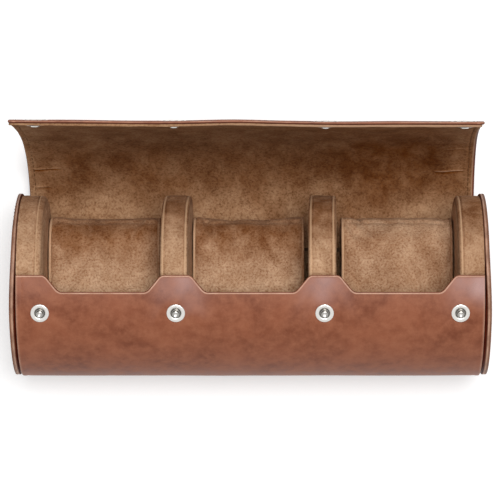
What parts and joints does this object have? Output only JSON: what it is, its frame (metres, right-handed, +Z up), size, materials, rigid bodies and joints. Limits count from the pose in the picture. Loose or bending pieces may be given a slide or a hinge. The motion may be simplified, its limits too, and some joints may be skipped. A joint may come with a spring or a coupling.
{
  "type": "watch travel case",
  "caption": "Leather watch roll with end discs, a wrap-over snap flap, suede-lined bays, padded dividers and lift-out watch cushions, shown open.",
  "frame": {"origin": "middle of the flat that the roll rests on, under the roll's axis", "axes": "+X along the roll to the right as the picture shows it, -Y the front with the panel's snaps, +Y the back where the flap is hinged, +Z up"},
  "size_m": [0.2538, 0.1371, 0.1318],
  "materials": {
    "leather": "waxed pull-up cowhide, satin",
    "disc_leather": "waxed cowhide with burnished edges",
    "suede": "brushed suede",
    "cushion_suede": "brushed suede over foam",
    "cushion_filling": "soft foam filling",
    "pad_core": "layered board and foam",
    "board": "grey board",
    "nickel": "polished nickel plate",
    "rivet_brass": "plain brass"
  },
  "bodies": {
    "roll": {"outer_wrap": "leather", "wrap_board": "board", "body_lining": "suede", "end_disc_left": "disc_leather", "end_disc_right": "disc_leather", "end_pad_core_left": "pad_core", "end_pad_core_right": "pad_core", "end_pad_cover_left": "suede", "end_pad_cover_right": "suede", "divider_core_left": "pad_core", "divider_core_right": "pad_core", "divider_cover_left": "suede", "divider_cover_right": "suede", "snap_studs": "nickel", "snap_stud_rivets": "rivet_brass"},
    "flap_1": {"flap_leather_1": "leather", "flap_lining_1": "suede"},
    "flap_2": {"flap_leather_2": "leather", "flap_lining_2": "suede"},
    "flap_3": {"flap_leather_3": "leather", "flap_lining_3": "suede"},
    "flap_4": {"flap_leather_4": "leather", "flap_lining_4": "suede"},
    "flap_tip": {"flap_leather_5": "leather", "flap_lining_5": "suede", "snap_sockets": "nickel", "snap_caps": "nickel"},
    "cushion_left": {"cushion_core_left": "cushion_filling", "cushion_cover_left": "cushion_suede"},
    "cushion_middle": {"cushion_core_middle": "cushion_filling", "cushion_cover_middle": "cushion_suede"},
    "cushion_right": {"cushion_core_right": "cushion_filling", "cushion_cover_right": "cushion_suede"}
  },
  "joints": [
    {"name": "flap_hinge", "type": "hinge", "parent": "roll", "child": "flap_1", "pos_m": [0, 0.02113, 0.00328], "axis": [-1, 0, 0], "range_deg": [-32, 0]},
    {"name": "flap_bend_1", "type": "hinge", "parent": "flap_1", "child": "flap_2", "pos_m": [0, 0.0773, 0.03794], "axis": [-1, 0, 0], "range_deg": [-7.5, 0]},
    {"name": "flap_bend_2", "type": "hinge", "parent": "flap_2", "child": "flap_3", "pos_m": [0, 0.08295, 0.06117], "axis": [-1, 0, 0], "range_deg": [-17, 0]},
    {"name": "flap_bend_3", "type": "hinge", "parent": "flap_3", "child": "flap_4", "pos_m": [0, 0.08474, 0.085], "axis": [-1, 0, 0], "range_deg": [-23, 0]},
    {"name": "flap_tip_bend", "type": "hinge", "parent": "flap_4", "child": "flap_tip", "pos_m": [0, 0.08515, 0.1089], "axis": [-1, 0, 0], "range_deg": [-22, 0]},
    {"name": "cushion_lift_left", "type": "slide", "parent": "roll", "child": "cushion_left", "axis": [0, 0.7071, 0.7071], "range_m": [0, 0.06]},
    {"name": "cushion_lift_middle", "type": "slide", "parent": "roll", "child": "cushion_middle", "axis": [0, 0.7071, 0.7071], "range_m": [0, 0.06]},
    {"name": "cushion_lift_right", "type": "slide", "parent": "roll", "child": "cushion_right", "axis": [0, 0.7071, 0.7071], "range_m": [0, 0.06]}
  ],
  "couplings": [
    {"joint": "flap_bend_1", "follows": "flap_hinge", "ratio": 0.23438},
    {"joint": "flap_bend_2", "follows": "flap_hinge", "ratio": 0.53125},
    {"joint": "flap_bend_3", "follows": "flap_hinge", "ratio": 0.71875}
  ]
}
